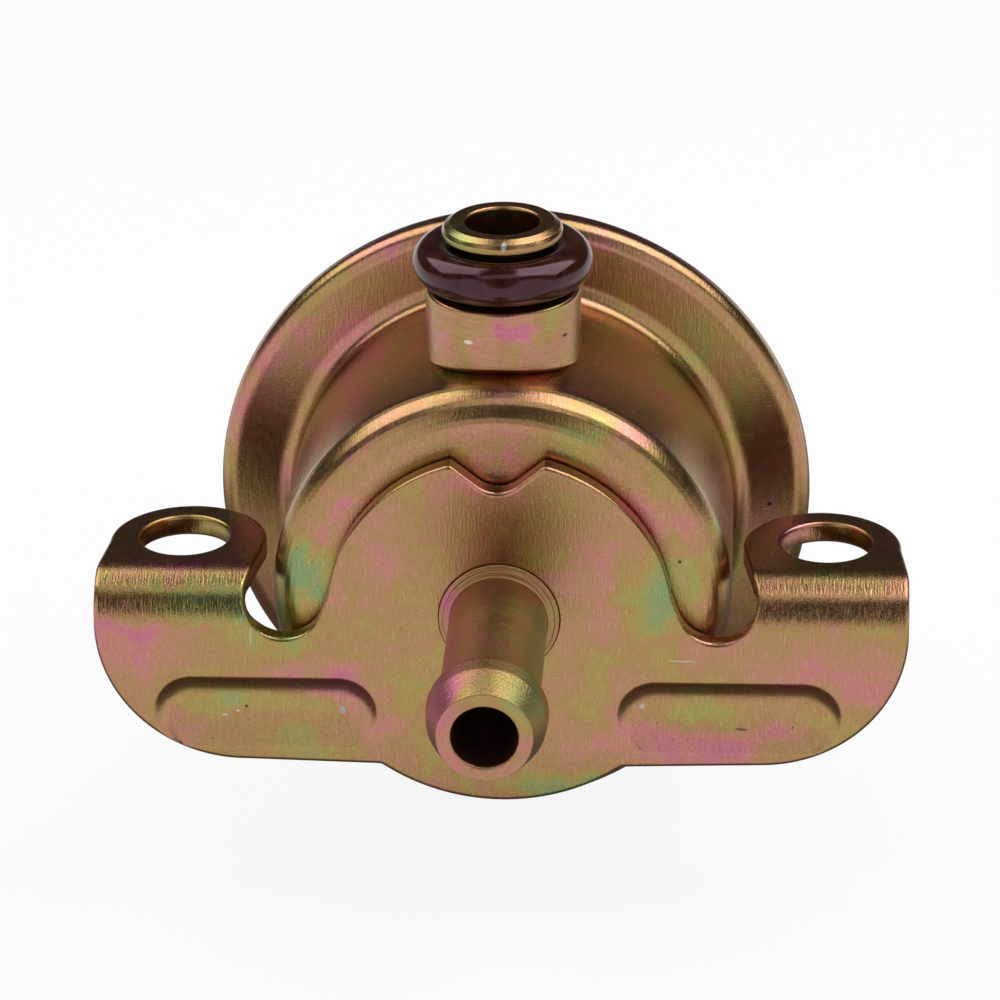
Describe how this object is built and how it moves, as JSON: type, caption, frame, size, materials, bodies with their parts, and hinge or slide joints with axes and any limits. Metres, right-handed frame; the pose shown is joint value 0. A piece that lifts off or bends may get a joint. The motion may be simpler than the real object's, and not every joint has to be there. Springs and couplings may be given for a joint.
{
  "type": "fuel pressure regulator",
  "caption": "Engine fuel pressure regulator: crimped diaphragm housing with a top inlet plug and O-ring, straight return barb, rear vacuum nipple and a folded bracket with bolt ears.",
  "frame": {"origin": "On the inlet plug's axis, in the plane of the ears' upper faces, where the regulator seats on the fuel rail.", "axes": "+Z out of the inlet plug towards the rail, +Y along the housing's axis from the return barb to the vacuum nipple, +X to the right seen from the barb's end."},
  "size_m": [0.0656, 0.079, 0.0546],
  "materials": {
    "yellow_zinc": "yellow chromated zinc plating, satin, iridescent",
    "bare_steel": "turned or pressed steel, oiled",
    "spring_wire": "drawn spring wire",
    "ring_rubber": "glossy dark brown fuel-proof rubber",
    "diaphragm_rubber": "matt black fabric-reinforced rubber"
  },
  "bodies": {
    "housing": {"mounting_bracket": "yellow_zinc", "fuel_housing": "yellow_zinc", "spring_housing": "yellow_zinc", "vacuum_nipple": "yellow_zinc", "return_tube": "yellow_zinc", "valve_seat": "bare_steel", "inlet_fitting": "yellow_zinc", "inlet_o_ring": "ring_rubber", "diaphragm": "diaphragm_rubber", "main_spring": "spring_wire", "upper_spring_seat": "bare_steel"},
    "valve_group": {"valve_carrier": "bare_steel", "support_washer": "bare_steel", "spring_plate": "bare_steel", "ball_retainer": "bare_steel", "ball_spring": "spring_wire"},
    "ball": {"valve_ball": "bare_steel"},
    "disc": {"valve_disc": "bare_steel"}
  },
  "joints": [
    {"name": "valve_lift", "type": "slide", "parent": "housing", "child": "valve_group", "axis": [0, 1, 0], "range_m": [0, 0.001], "stiffness_N_per_m": 500, "springref_m": -0.002, "deforming": ["main_spring", "diaphragm"]},
    {"name": "valve_tilt_x", "type": "hinge", "parent": "valve_group", "child": "ball", "pos_m": [0, 0.0116, -0.00285], "axis": [1, 0, 0], "range_deg": [-3, 3]},
    {"name": "valve_tilt_z", "type": "hinge", "parent": "ball", "child": "disc", "pos_m": [0, 0.0116, -0.00285], "axis": [0, 0, 1], "range_deg": [-3, 3]}
  ]
}
